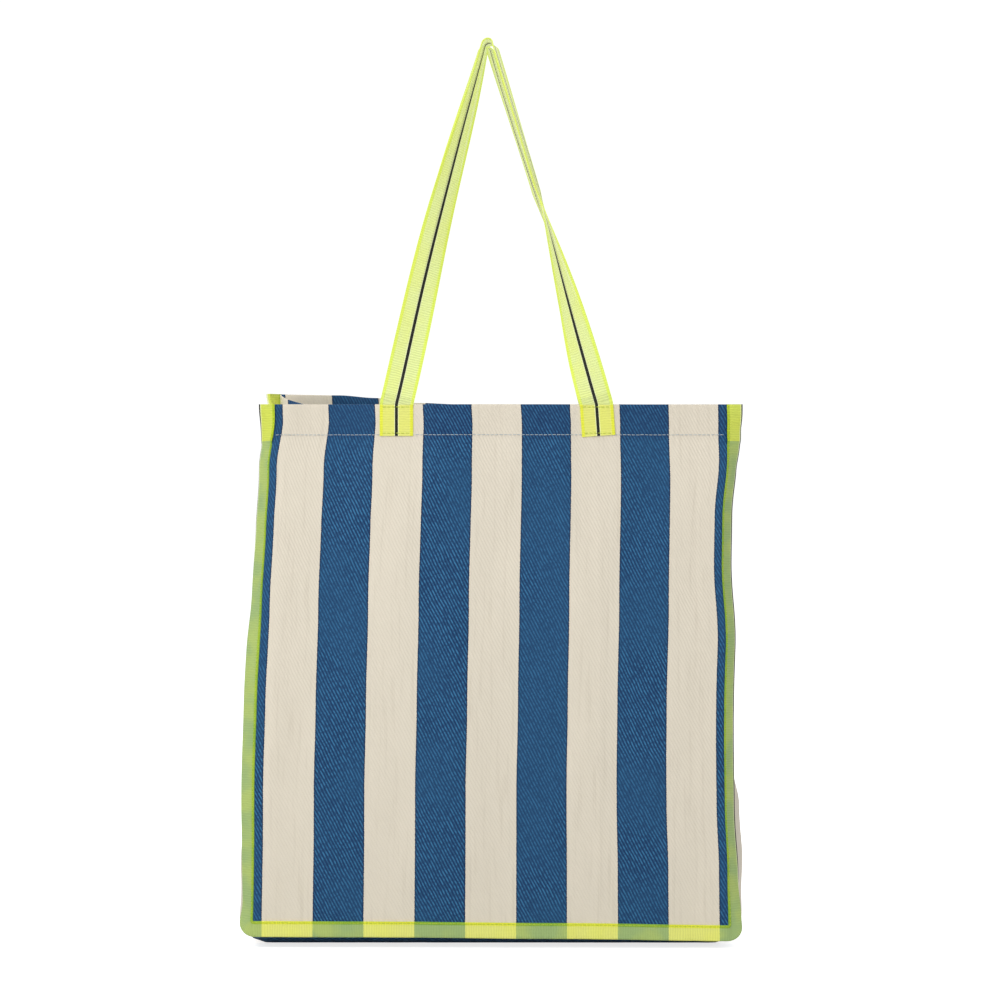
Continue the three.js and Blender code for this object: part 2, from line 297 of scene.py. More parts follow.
# mesh makers

def makeMesh(name, vertices, faces, flats, sharp=50, notes=None):
    mesh = bpy.data.meshes.new(name)
    mesh.from_pydata([tuple(p) for p in np.asarray(vertices, float)], [], faces)
    flats = np.asarray(flats, np.float32)
    corners = np.zeros(len(mesh.loops), np.int32)
    mesh.loops.foreach_get("vertex_index", corners)
    for label, values in (("flat", flats), ("note", notes)):
        if values is not None:
            layer = mesh.uv_layers.new(name=label)
            layer.uv.foreach_set("vector", np.asarray(values, np.float32)[corners].ravel())
    work = bmesh.new()
    work.from_mesh(mesh)
    bmesh.ops.recalc_face_normals(work, faces=work.faces)
    work.to_mesh(mesh)
    work.free()
    mesh.shade_smooth()
    mesh.set_sharp_from_angle(angle=math.radians(sharp))
    piece = bpy.data.objects.new(name, mesh)
    bpy.context.scene.collection.objects.link(piece)
    return piece

def loftParts(rings, flats):
    count, size = rings.shape[:2]
    faces = [
        (i * size + j, i * size + (j + 1) % size, (i + 1) * size + (j + 1) % size, (i + 1) * size + j)
        for i in range(count - 1)
        for j in range(size)
    ]
    faces += [tuple(range(size - 1, -1, -1)), tuple((count - 1) * size + j for j in range(size))]
    return rings.reshape(-1, 3), faces, flats.reshape(-1, 2)

def joined(parts):
    vertices, faces, flats, start = [], [], [], 0
    for points, sides, places in parts:
        vertices.append(points)
        flats.append(places)
        faces += [tuple(start + k for k in side) for side in sides]
        start += len(points)
    return np.concatenate(vertices), faces, np.concatenate(flats)

def hemmedLoop(length, startHem, endHem, step, extra=()):
    cloth, gap = bag["cloth"], bag["layerGap"]
    radius = (2 * cloth + gap) / 2
    inner = gap / 2
    first = radius if startHem else 0
    last = length - radius if endHem else length
    outside = np.linspace(first, last, int((last - first) / step) + 1)
    outside = np.unique(np.concatenate([outside, extra]))
    loop = [(a, 0) for a in outside]
    turns = np.linspace(0, math.pi, 7)[1:-1]
    folded = np.linspace(0, bag["hem"] - radius, 7)
    if endHem:
        loop += [(last + radius * math.sin(t), -radius + radius * math.cos(t)) for t in turns]
        loop += [(last - f, -2 * radius) for f in folded]
        loop += [(last - f, -cloth - gap) for f in folded[::-1]]
        loop += [(last + inner * math.sin(t), -radius - inner * math.cos(t)) for t in turns[::2]]
    loop += [(a, -cloth) for a in outside[::-1]]
    if startHem:
        loop += [(first - inner * math.sin(t), -radius + inner * math.cos(t)) for t in turns[::2]]
        loop += [(first + f, -cloth - gap) for f in folded]
        loop += [(first + f, -2 * radius) for f in folded[::-1]]
        loop += [(first - radius * math.sin(t), -radius - radius * math.cos(t)) for t in turns]
    return np.array(loop)

# stations along the edge of a panel

def edgeStations(step=0.004, cornerSteps=9):
    half, rim, radius = bag["halfWidth"], bag["rim"], bag["cornerRadius"]
    rows = []
    for v in np.linspace(rim, radius, int((rim - radius) / step) + 1):
        rows.append((-half, v, 1, 0))
    for k in range(1, cornerSteps):
        turn = k / cornerSteps * math.pi / 2
        rows.append((-half + radius - radius * math.cos(turn), radius - radius * math.sin(turn),
                     math.cos(turn), math.sin(turn)))
    leftSide = rows[::-1]
    for u in np.linspace(-half + radius, half - radius, int(2 * (half - radius) / step) + 1):
        rows.append((u, 0, 0, 1))
    rows += [(-u, v, -du, dv) for u, v, du, dv in leftSide]
    rows = np.array(rows)
    gone = np.concatenate([[0], np.cumsum(np.hypot(*np.diff(rows[:, :2], axis=0).T))])
    return rows, gone

def alongEdge(shape, rows, gone, profile, across, lift=None):
    d, h = profile[:, 0][None, :], profile[:, 1][None, :]
    a = rows[:, 0:1] + rows[:, 2:3] * d
    b = rows[:, 1:2] + rows[:, 3:4] * d
    if lift is not None:
        h = h + lift
    points, _ = place(shape, a, b, h)
    flats = np.stack(np.broadcast_arrays(across[None, :], gone[:, None]), -1)
    return points, flats, np.stack([a, b], -1)

# shader helpers

def linear(red, green, blue):
    def one(value):
        value /= 255
        return value / 12.92 if value <= 0.04045 else ((value + 0.055) / 1.055) ** 2.4
    return (one(red), one(green), one(blue), 1)

def addNode(tree, kind, settings=None, **inputs):
    node = tree.nodes.new("ShaderNode" + kind)
    for name, value in (settings or {}).items():
        setattr(node, name, value)
    for name, value in inputs.items():
        feed(tree, node.inputs[name.replace("_", " ")], value)
    return node

def feed(tree, socket, value):
    if isinstance(value, bpy.types.NodeSocket):
        tree.links.new(value, socket)
    else:
        socket.default_value = value

def calc(tree, operation, *values):
    node = tree.nodes.new("ShaderNodeMath")
    node.operation = operation
    for socket, value in zip(node.inputs, values):
        feed(tree, socket, value)
    return node.outputs[0]

def blendColour(tree, share, low, high):
    node = addNode(tree, "Mix", {"data_type": "RGBA"})
    feed(tree, node.inputs[0], share)
    feed(tree, node.inputs[6], low)
    feed(tree, node.inputs[7], high)
    return node.outputs[2]

def wave(tree, along, pitch):
    turns = calc(tree, "MULTIPLY", calc(tree, "DIVIDE", along, pitch), math.pi)
    return calc(tree, "ABSOLUTE", calc(tree, "SINE", turns))

def noise2d(tree, where, scale, detail, roughness=0.5):
    node = addNode(tree, "TexNoise", {"noise_dimensions": "2D"}, Vector=where, Scale=scale, Detail=detail,
                   Roughness=roughness)
    return node.outputs["Fac"]

def rescale(tree, value, fromLow, fromHigh, toLow, toHigh, kind="SMOOTHSTEP"):
    node = addNode(tree, "MapRange", {"interpolation_type": kind})
    for socket, amount in zip(node.inputs, (value, fromLow, fromHigh, toLow, toHigh)):
        feed(tree, socket, amount)
    return node.outputs[0]

def newGroup(name, inputs, outputs):
    tree = bpy.data.node_groups.new(name, "ShaderNodeTree")
    for label, kind, value in inputs:
        socket = tree.interface.new_socket(name=label, in_out="INPUT", socket_type="NodeSocket" + kind)
        if value is not None:
            socket.default_value = value
    for label, kind in outputs:
        tree.interface.new_socket(name=label, in_out="OUTPUT", socket_type="NodeSocket" + kind)
    return tree, tree.nodes.new("NodeGroupInput"), tree.nodes.new("NodeGroupOutput")

def giveOut(tree, out, values):
    for label, value in values.items():
        tree.links.new(value, out.inputs[label])
    return tree

def setSurface(tree, shader, colour, rough, height, strength, distance):
    bump = addNode(tree, "Bump", Strength=strength, Distance=distance, Height=height)
    for name, value in (("Base Color", colour), ("Roughness", rough), ("Normal", bump.outputs[0])):
        tree.links.new(value, shader.inputs[name])

def useGroup(tree, group, **values):
    node = tree.nodes.new("ShaderNodeGroup")
    node.node_tree = group
    for name, value in values.items():
        feed(tree, node.inputs[name.replace("_", " ")], value)
    return node

def startMaterial(name):
    material = bpy.data.materials.new(name)
    material.use_nodes = True
    tree = material.node_tree
    shader = tree.nodes["Principled BSDF"]
    flat = addNode(tree, "UVMap", {"uv_map": "flat"}).outputs[0]
    return material, tree, shader, flat

# groups shared by the materials

def twillGroup():
    tree, given, out = newGroup(
        "twillWeave",
        [("Flat", "Vector", None), ("Rib Pitch", "Float", 0.00297), ("Rib Rise", "Float", 0.0057),
         ("Thread Pitch", "Float", 0.00075)],
        [("Height", "Float"), ("Rib", "Float"), ("Dash", "Float")])
    flat = given.outputs["Flat"]
    parts = addNode(tree, "SeparateXYZ", Vector=flat)
    wander = calc(tree, "MULTIPLY_ADD", noise2d(tree, flat, 55.0, 1.0), 0.5, -0.25)
    lengthwise = calc(tree, "SUBTRACT", calc(tree, "DIVIDE", parts.outputs[1], 0.0062),
                      calc(tree, "DIVIDE", parts.outputs[0], 0.0119))
    across = calc(tree, "DIVIDE", parts.outputs[0], given.outputs["Rib Pitch"])
    along = calc(tree, "DIVIDE", parts.outputs[1], given.outputs["Rib Rise"])
    phase = calc(tree, "ADD", calc(tree, "ADD", across, along), wander)
    dashPlace = addNode(tree, "CombineXYZ", X=calc(tree, "FLOOR", phase), Y=lengthwise)
    dash = noise2d(tree, dashPlace.outputs[0], 1.9, 1.0)
    rib = calc(tree, "SINE", calc(tree, "MULTIPLY", phase, 2 * math.pi))
    rib = calc(tree, "MULTIPLY_ADD", rib, 0.5, 0.5)
    warp = wave(tree, parts.outputs[0], given.outputs["Thread Pitch"])
    weft = wave(tree, parts.outputs[1], given.outputs["Thread Pitch"])
    thread = calc(tree, "MULTIPLY", warp, weft)
    height = calc(tree, "MULTIPLY_ADD", thread, 0.28, calc(tree, "MULTIPLY", rib, 0.72))
    return giveOut(tree, out, {"Height": height, "Rib": rib, "Dash": dash})

def stripeGroup():
    tree, given, out = newGroup(
        "sailStripes",
        [("Flat", "Vector", None), ("Stripe", "Float", bag["stripe"]), ("Border", "Float", 0.0011)],
        [("Blue", "Float"), ("Edge", "Float")])
    flat = given.outputs["Flat"]
    parts = addNode(tree, "SeparateXYZ", Vector=flat)
    fray = calc(tree, "MULTIPLY_ADD", noise2d(tree, flat, 900.0, 0.0), 0.0005, -0.00025)
    width = calc(tree, "ADD", calc(tree, "ABSOLUTE", parts.outputs[0]), fray)
    cell = calc(tree, "ADD", calc(tree, "DIVIDE", width, given.outputs["Stripe"]), 0.5)
    blue = calc(tree, "MODULO", calc(tree, "FLOOR", cell), 2.0)
    share = calc(tree, "FRACT", cell)
    nearest = calc(tree, "MINIMUM", share, calc(tree, "SUBTRACT", 1.0, share))
    distance = calc(tree, "MULTIPLY", nearest, given.outputs["Stripe"])
    edge = calc(tree, "LESS_THAN", distance, given.outputs["Border"])
    return giveOut(tree, out, {"Blue": blue, "Edge": edge})

def fibreGroup():
    tree, given, out = newGroup(
        "fibreVariation",
        [("Flat", "Vector", None), ("Streak Scale", "Float", 260.0), ("Patch Scale", "Float", 9.0)],
        [("Streak", "Float"), ("Patch", "Float"), ("Speck", "Float")])
    flat = given.outputs["Flat"]
    stretched = addNode(tree, "Mapping", Vector=flat)
    stretched.inputs["Scale"].default_value = (1, 0.045, 1)
    streak = noise2d(tree, stretched.outputs[0], given.outputs["Streak Scale"], 3.0, 0.6)
    patch = noise2d(tree, flat, given.outputs["Patch Scale"], 2.0)
    speck = noise2d(tree, flat, 1400.0, 1.0)
    return giveOut(tree, out, {"Streak": streak, "Patch": patch, "Speck": speck})

def webbingGroup():
    tree, given, out = newGroup(
        "webbingWeave",
        [("Flat", "Vector", None), ("Rib Pitch", "Float", 0.0022), ("Warp Pitch", "Float", 0.00105),
         ("Selvedge", "Float", 0.0122), ("Line", "Float", 0.00135)],
        [("Height", "Float"), ("Rib", "Float"), ("Warp", "Float"), ("Selvedge", "Float"), ("Line", "Float"),
         ("Pale", "Float")])
    flat = given.outputs["Flat"]
    parts = addNode(tree, "SeparateXYZ", Vector=flat)
    across = calc(tree, "ABSOLUTE", parts.outputs[0])
    uneven = calc(tree, "MULTIPLY_ADD", noise2d(tree, flat, 120.0, 2.0), 0.8, -0.4)
    ribPhase = calc(tree, "ADD", calc(tree, "DIVIDE", parts.outputs[1], given.outputs["Rib Pitch"]), uneven)
    rib = calc(tree, "SINE", calc(tree, "MULTIPLY", ribPhase, 2 * math.pi))
    rib = calc(tree, "MULTIPLY_ADD", rib, 0.5, 0.5)
    warp = wave(tree, parts.outputs[0], given.outputs["Warp Pitch"])
    selvedge = rescale(tree, across, calc(tree, "SUBTRACT", given.outputs["Selvedge"], 0.0004),
                       calc(tree, "ADD", given.outputs["Selvedge"], 0.0004), 0.0, 1.0)
    line = calc(tree, "LESS_THAN", across, given.outputs["Line"])
    edged = calc(tree, "LESS_THAN", across, calc(tree, "ADD", given.outputs["Line"], 0.0007))
    pale = calc(tree, "SUBTRACT", edged, line)
    height = calc(tree, "MULTIPLY_ADD", warp, 0.45, calc(tree, "MULTIPLY", rib, 0.55))
    height = calc(tree, "ADD", height, calc(tree, "MULTIPLY", selvedge, 0.5))
    return giveOut(tree, out, {"Height": height, "Rib": rib, "Warp": warp, "Selvedge": selvedge,
                               "Line": line, "Pale": pale})

twillWeave, sailStripes = twillGroup(), stripeGroup()
fibreVariation, webbingWeave = fibreGroup(), webbingGroup()

# materials

clothLook = {
    "cream": linear(226, 217, 200),
    "creamShade": linear(200, 190, 172),
    "blue": linear(58, 124, 170),
    "blueShade": linear(6, 40, 84),
    "navy": linear(6, 26, 56),
    "doubled": {"cream": 0.12, "blue": 0.26},  # painted shade, darker where the hem lies behind and less light comes through
    "roughness": (0.5, 0.74),
    "bump": 0.5,
}

def clothMaterial():
    look = clothLook
    material, tree, shader, flat = startMaterial("stripedCloth")
    weave = useGroup(tree, twillWeave, Flat=flat)
    stripes = useGroup(tree, sailStripes, Flat=flat)
    fibre = useGroup(tree, fibreVariation, Flat=flat)
    strength = rescale(tree, fibre.outputs["Patch"], 0.35, 0.65, 0.55, 1.0)
    crest = calc(tree, "POWER", weave.outputs["Rib"], 1.6)
    lit = calc(tree, "MULTIPLY", crest, rescale(tree, weave.outputs["Dash"], 0.3, 0.68, 0.35, 1.0))
    ribs = calc(tree, "ADD", calc(tree, "MULTIPLY", lit, strength),
                calc(tree, "MULTIPLY", calc(tree, "SUBTRACT", 1.0, strength), 0.3))
    blue = blendColour(tree, ribs, look["blueShade"], look["blue"])
    blue = blendColour(tree, rescale(tree, fibre.outputs["Speck"], 0.4, 0.7, 0.0, 0.18), blue, look["blue"])
    creamRib = calc(tree, "MULTIPLY", calc(tree, "SUBTRACT", 1.0, weave.outputs["Rib"]), 0.08)
    streaks = rescale(tree, fibre.outputs["Streak"], 0.5, 0.78, 0.0, 0.3)
    cream = blendColour(tree, calc(tree, "ADD", creamRib, streaks), look["cream"], look["creamShade"])
    # painted shade over the doubled hem, its mask read from the note map
    note = addNode(tree, "UVMap", {"uv_map": "note"}).outputs[0]
    doubled = addNode(tree, "SeparateXYZ", Vector=note).outputs[0]
    onBlue = calc(tree, "MULTIPLY", doubled, look["doubled"]["blue"])
    onCream = calc(tree, "MULTIPLY", doubled, look["doubled"]["cream"])
    blue = blendColour(tree, onBlue, blue, look["blueShade"])
    cream = blendColour(tree, onCream, cream, look["creamShade"])
    colour = blendColour(tree, stripes.outputs["Blue"], cream, blue)
    border = calc(tree, "MULTIPLY", stripes.outputs["Edge"], stripes.outputs["Blue"])
    border = calc(tree, "MULTIPLY", border, 0.6)
    colour = blendColour(tree, border, colour, look["navy"])
    low, high = look["roughness"]
    rough = rescale(tree, weave.outputs["Height"], 0.0, 1.0, high, low, "LINEAR")
    setSurface(tree, shader, colour, rough, weave.outputs["Height"], look["bump"], 0.0004)
    shader.inputs["Sheen Weight"].default_value = 0.1
    shader.inputs["Sheen Roughness"].default_value = 0.4
    shader.inputs["Specular IOR Level"].default_value = 0.22
    return material

webbingLook = {
    "onCream": {"centre": linear(228, 230, 122), "selvedge": linear(230, 234, 62)},
    "onBlue": {"centre": linear(156, 182, 116), "selvedge": linear(134, 178, 50)},
    "double": {"centre": linear(206, 218, 90), "selvedge": linear(182, 206, 34)},
    "free": {"centre": linear(229, 240, 160), "selvedge": linear(225, 242, 100)},
    "pale": linear(240, 245, 200),
    "line": linear(14, 18, 8),
    "shade": 0.84,  # of the valleys between ribs
    "glow": {"binding": 0.1, "end": 0.08, "free": 0.5},
    "rest": {"binding": 1.0, "end": 1.0, "free": 0.62},  # of the colour, beside the glow
    "alpha": {"gap": 0.58, "rib": 0.72, "selvedge": 0.88, "line": 0.98},
}

def webbingMaterial(name, use):
    look = webbingLook
    material, tree, shader, flat = startMaterial(name)
    weave = useGroup(tree, webbingWeave, Flat=flat)
    fibre = useGroup(tree, fibreVariation, Flat=flat, Streak_Scale=500.0, Patch_Scale=40.0)
    selvedge = weave.outputs["Selvedge"]
    both = {key: blendColour(tree, selvedge, look[key]["centre"], look[key]["selvedge"])
            for key in ("onCream", "onBlue", "double", "free")}
    note = addNode(tree, "UVMap", {"uv_map": "note"}).outputs[0]
    parts = addNode(tree, "SeparateXYZ", Vector=note)
    if use == "binding":  # the stripes below show through the open weave
        stripes = useGroup(tree, sailStripes, Flat=note)
        colour = blendColour(tree, stripes.outputs["Blue"], both["onCream"], both["onBlue"])
        turned = calc(tree, "GREATER_THAN", parts.outputs[1], bag["rim"] - binding["turnUnder"])
        colour = blendColour(tree, turned, colour, both["double"])
        solid = 1.0
    elif use == "end":
        solid = calc(tree, "LESS_THAN", parts.outputs[1], bag["rim"] - 0.0005)
        colour = blendColour(tree, solid, both["free"], both["onCream"])
    else:
        solid = 0.0
        colour = both["free"]
    darker = addNode(tree, "HueSaturation", Color=colour, Value=look["shade"])
    warpShare = calc(tree, "MULTIPLY", weave.outputs["Warp"], 0.4)
    ribShare = calc(tree, "MULTIPLY_ADD", weave.outputs["Rib"], 0.6, warpShare)
    colour = blendColour(tree, ribShare, darker.outputs[0], colour)
    uneven = rescale(tree, fibre.outputs["Patch"], 0.35, 0.7, 0.0, 0.35)
    colour = blendColour(tree, calc(tree, "MULTIPLY", uneven, 0.5), colour, look["onCream"]["selvedge"])
    colour = blendColour(tree, calc(tree, "MULTIPLY", weave.outputs["Pale"], 0.6), colour, look["pale"])
    colour = blendColour(tree, weave.outputs["Line"], colour, look["line"])
    base = blendColour(tree, look["rest"][use], linear(0, 0, 0), colour)
    tree.links.new(colour, shader.inputs["Emission Color"])  # stands for light that comes through
    shader.inputs["Emission Strength"].default_value = look["glow"][use]
    if use != "binding":
        amounts = look["alpha"]
        alpha = rescale(tree, weave.outputs["Rib"], 0.0, 1.0, amounts["gap"], amounts["rib"], "LINEAR")
        alpha = calc(tree, "MAXIMUM", alpha, calc(tree, "MULTIPLY", selvedge, amounts["selvedge"]))
        alpha = calc(tree, "MAXIMUM", alpha, calc(tree, "MULTIPLY", weave.outputs["Line"], amounts["line"]))
        tree.links.new(calc(tree, "MAXIMUM", alpha, solid), shader.inputs["Alpha"])
    rough = rescale(tree, weave.outputs["Rib"], 0.0, 1.0, 0.66, 0.46, "LINEAR")
    setSurface(tree, shader, base, rough, weave.outputs["Height"], 0.5, 0.0005)
    shader.inputs["Sheen Weight"].default_value = 0.08
    shader.inputs["Specular IOR Level"].default_value = 0.35
    return material

def threadMaterial(name, colour, shade):
    material, tree, shader, flat = startMaterial(name)
    parts = addNode(tree, "SeparateXYZ", Vector=flat)
    twist = calc(tree, "ADD", parts.outputs[0], calc(tree, "DIVIDE", parts.outputs[1], 0.0007))
    ply = calc(tree, "ABSOLUTE", calc(tree, "SINE", calc(tree, "MULTIPLY", twist, math.pi)))
    fibre = useGroup(tree, fibreVariation, Flat=flat)
    mixed = blendColour(tree, calc(tree, "MULTIPLY", ply, 0.8), shade, colour)
    mixed = blendColour(tree, rescale(tree, fibre.outputs["Speck"], 0.4, 0.7, 0.0, 0.2), mixed, shade)
    setSurface(tree, shader, mixed, rescale(tree, ply, 0.0, 1.0, 0.7, 0.45, "LINEAR"), ply, 0.6, 0.0002)
    shader.inputs["Sheen Weight"].default_value = 0.15
    return material

stripedCloth = clothMaterial()
bindingWebbing = webbingMaterial("bindingWebbing", "binding")
strapWebbing = webbingMaterial("strapWebbing", "free")
strapEndWebbing = webbingMaterial("strapEndWebbing", "end")
paleThread = threadMaterial("paleThread", linear(214, 222, 222), linear(150, 164, 178))
limeThread = threadMaterial("limeThread", linear(222, 236, 70), linear(170, 190, 40))
print("materials made")

def dress(piece, material):
    piece.data.materials.append(material)
    return piece

# panels

panelPiece = {"step": 0.004, "column": 0.003}

def makePanel(label, shape, body):
    half = bag["halfWidth"] - bag["edge"]
    columns = np.linspace(-half, half, int(2 * half / panelPiece["column"]) + 1)
    bends = np.linspace(seamX - 0.003, half, 14)
    columns = np.concatenate([columns[np.abs(columns) < seamX - 0.004], bends, -bends])
    columns = np.unique(np.round(columns, 6))
    loop = hemmedLoop(bag["rim"] - bag["edge"], False, True, panelPiece["step"])
    u, v = np.broadcast_arrays(columns[:, None], loop[None, :, 0] + bag["edge"])
    u, v = roundCorners(u, v)
    rings, _ = place(shape, u, v, loop[None, :, 1])
    # mask of the doubled hem, where the cloth material paints shade
    double = smooth(v, bag["rim"] - bag["hem"] - 0.001, bag["rim"] - bag["hem"] + 0.0005)
    notes = np.stack([double, v], -1).reshape(-1, 2)
    piece = makeMesh(label, *loftParts(rings, np.stack([u, v], -1)), notes=notes)
    dress(piece, stripedCloth)
    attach(piece, body)
    return piece

def makeAllowance(label, shape, body):
    rows, gone = edgeStations()
    top, low = -bag["cloth"] - bag["layerGap"], -2 * bag["cloth"] - bag["layerGap"]
    near, far = 0.0009, bag["seamInset"] - 0.0002
    span = np.linspace(near, far, 9)
    profile = np.array([(d, top) for d in span] + [(d, low) for d in span[::-1]])
    across = wall["half"] + bag["seamInset"] - profile[:, 0] + wall["stripeShift"]
    rings, flats, _ = alongEdge(shape, rows, gone, profile, across)
    piece = makeMesh(label, *loftParts(rings, flats), notes=np.zeros((flats.size // 2, 2)))
    dress(piece, stripedCloth)
    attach(piece, body)
    return piece

# binding tape, folded lengthwise over the edges

def foldedProfile():
    thick, gap, bulge = binding["thickness"], bag["layerGap"], binding["bulge"]
    roundFold = 0.0009  # of the webbing's width, in each half of the fold
    high, low = gap + thick, -binding["stack"] - thick
    innerHigh, innerLow = gap, -binding["stack"]
    middle, reach = (high + low) / 2, (high - low) / 2
    innerReach = (innerHigh - innerLow) / 2
    span = np.linspace(bag["tapeWidth"], bulge + 0.0002, 8)
    turns = np.linspace(0, math.pi, 9)[1:-1]
    rows = [(d, high, -d) for d in span]
    rows += [(bulge * (1 - math.sin(t)), middle + reach * math.cos(t), -roundFold * math.cos(t)) for t in turns]
    rows += [(d, low, d) for d in span[::-1]]
    rows += [(d, innerLow, d) for d in span]
    rows += [(bulge - (bulge - thick) * math.sin(t), middle - innerReach * math.cos(t), roundFold * math.cos(t))
             for t in turns]
    rows += [(d, innerHigh, -d) for d in span[::-1]]
    return np.array(rows)

def makeBinding(label, shape, body):
    rows, gone = edgeStations(0.003)
    profile = foldedProfile()
    ply = binding["thickness"] + bag["layerGap"]
    # the ends are turned under, so the outer plies rise over the ends
    level = smooth(rows[:, 1], bag["rim"] - binding["turnUnder"] - 0.004, bag["rim"] - binding["turnUnder"])
    middle = -binding["stack"] / 2 + bag["layerGap"] / 2
    lift = level[:, None] * ply * np.sign(profile[:, 1] - middle)[None, :]
    rings, flats, below = alongEdge(shape, rows, gone, profile[:, :2], profile[:, 2], lift)
    # the webbing isn't folded quite in half, so its black line wanders off the edge
    u, v = rows[:, 0], rows[:, 1]
    hidden = -0.0022 * (1 - np.where(u < 0, smooth(v, 0.3, 0.38), smooth(v, 0.03, 0.06)))
    shown = 0.0011 * smooth(v, 0.05, 0.09) * (1 - smooth(v, 0.4, 0.46)) * (u > 0)
    wander = (hidden + shown if shape is frontSide else np.full(len(rows), 0.002))[:, None]
    flats[..., 0] += wander * (1 - np.abs(flats[..., 0]) / bag["tapeWidth"])
    parts, notes = [loftParts(rings, flats)], [below.reshape(-1, 2)]
    narrower = profile[:, :2] * [0.97, 1]
    for edge in (rows[:, 0] < 0, rows[:, 0] > 0):
        ends = edge & (rows[:, 1] > bag["rim"] - binding["turnUnder"])
        rings, flats, below = alongEdge(shape, rows[ends], gone[ends], narrower, profile[:, 2])
        parts.append(loftParts(rings, flats))
        notes.append(below.reshape(-1, 2))
    piece = makeMesh(label, *joined(parts), notes=np.concatenate(notes))
    dress(piece, bindingWebbing)
    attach(piece, body)
    return piece

# stitches, each one its own short thread

def stitchRow(label, shape, starts, ends, height):
    radius, dip = bag["threadRadius"], 0.0003
    shares = np.array([0, 0.14, 0.36, 0.64, 0.86, 1.0])
    rises = np.array([-dip, radius * 0.55, radius * 0.95, radius * 0.95, radius * 0.55, -dip])
    a = starts[:, 0:1] + (ends - starts)[:, 0:1] * shares
    b = starts[:, 1:2] + (ends - starts)[:, 1:2] * shares
    points, normals = place(shape, a, b, height + rises[None, :])
    along = unit(np.gradient(points, axis=1))
    normals = unit(normals - (normals * along).sum(-1, keepdims=True) * along)
    beside = np.cross(along, normals)
    turns = np.linspace(0, 2 * math.pi, 7)[:-1]
    ring = (points[:, :, None, :]
            + radius * np.cos(turns)[None, None, :, None] * normals[:, :, None, :]
            + radius * np.sin(turns)[None, None, :, None] * beside[:, :, None, :])
    parts = []
    pitch = np.linalg.norm(points[:, -1] - points[:, 0], axis=-1)
    for k in range(len(starts)):
        run = k * 0.0041 + shares * pitch[k]
        flats = np.stack(np.broadcast_arrays((turns / (2 * math.pi))[None, :], run[:, None]), -1)
        parts.append(loftParts(ring[k], flats))
    return makeMesh(label, *joined(parts), sharp=80)

def spaced(points, stitch, gap):
    gone = np.concatenate([[0], np.cumsum(np.linalg.norm(np.diff(points, axis=0), axis=1))])
    count = int(gone[-1] // (stitch + gap))
    wobble = np.random.default_rng(5).normal(0, 0.00008, (count, 4))
    begin = np.arange(count) * (gone[-1] / count)

    def at(run):
        return np.stack([np.interp(run, gone, points[:, 0]), np.interp(run, gone, points[:, 1])], -1)

    return at(begin) + wobble[:, :2], at(begin + stitch) + wobble[:, 2:]

def finishRow(piece, material, body, node):
    dress(piece, material)
    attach(piece, body)
    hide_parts(node)

def bindingRow(label, shape):
    rows, _ = edgeStations(0.002, 14)
    inward = rows[:, :2] + rows[:, 2:] * binding["row"]
    starts, ends = spaced(inward, 0.0029, 0.0008)
    height = bag["layerGap"] + binding["thickness"]
    high = (starts[:, 1] > bag["rim"] - binding["turnUnder"]) & (np.abs(starts[:, 0]) > 0.2)
    lifted = np.where(high, height + binding["thickness"] + bag["layerGap"], height)[:, None]
    return stitchRow(label, shape, starts, ends, lifted)

def hemRow(label, shape):
    height = bag["rim"] - bag["hemRow"]
    line = np.stack([np.linspace(-seamX + 0.0015, seamX - 0.0015, 200), np.full(200, height)], -1)
    starts, ends = spaced(line, 0.0031, 0.0009)
    return stitchRow(label, shape, starts, ends, 0.0)

# the wall strip

strip = {"step": 0.004, "across": 37, "cutWidth": 0.0001}

def makeWalls():
    corner, cut = wallStraight + wallArc / 2, strip["cutWidth"]
    joins = [at + beside for at in (corner, stripLength - corner) for beside in (-cut, cut)]
    loop = hemmedLoop(stripLength, True, True, strip["step"], joins)
    t = np.linspace(-wall["half"], wall["half"], strip["across"])
    s, t = np.broadcast_arrays(loop[None, :, 0], t[:, None])
    rings, _ = place(wallShape, s, t, loop[None, :, 1])
    fromRim = np.minimum(s, stripLength - s)
    onBase = fromRim > corner  # the walls' stripes are shifted against the base's
    flats = np.stack([t + np.where(onBase, 0, wall["stripeShift"]), s], -1)
    # mask of the doubled hem, where the cloth material paints shade
    double = 1 - smooth(fromRim, bag["hem"] - 0.0005, bag["hem"] + 0.001)
    notes = np.stack([double, fromRim], -1).reshape(-1, 2)
    piece = makeMesh("gusset_cloth", *loftParts(rings, flats), notes=notes)
    dress(piece, stripedCloth)
    return piece

def wallHemRow(label, s):
    line = np.stack([np.full(60, s), np.linspace(-wall["half"] + 0.0025, wall["half"] - 0.0025, 60)], -1)
    starts, ends = spaced(line, 0.0031, 0.0009)
    piece = stitchRow(label, wallShape, starts, ends, 0.0)
    return dress(piece, paleThread)

# handles

strap = {
    "width": endHigh.x - endLow.x,
    "thickness": 0.001,
    "middle": -(endLow.y + endHigh.y) / 2,  # of the strap, from the middle of the bag
    "rise": 0.335,
    "peak": -0.008,
    "peakRadius": 0.0048,
    "root": 0.008,
    "end": 0.0285,
    "lean": 8.29,
    "endSlant": {-1: 0, 1: 0.07},
    "bow": 0.0027,
    "apart": 0.0019,  # each loop's shift to its own side at the top
    "widerBehind": 0.0037,
    "twist": {-1: (80, 1.0, 1.05), 1: (102, 0.59, 0.85)},  # degrees, reach and power
    "cup": 0.0012,
}

def legFacts(hand):
    start = hang["strapPlaces"][0] if hand < 0 else hang["strapPlaces"][1]
    centre = np.array([strap["peak"] - start, strap["rise"] - strap["peakRadius"]])
    angle = math.atan2(centre[0], centre[1]) + hand * math.asin(strap["peakRadius"] / np.hypot(*centre))
    top = centre[1] + strap["peakRadius"] * math.sin(abs(angle))
    return start, angle, top

def legTwist(hand, share):
    turn, reach, power = strap["twist"][hand]
    return math.radians(turn) * min(max(share / reach, 0), 1) ** power

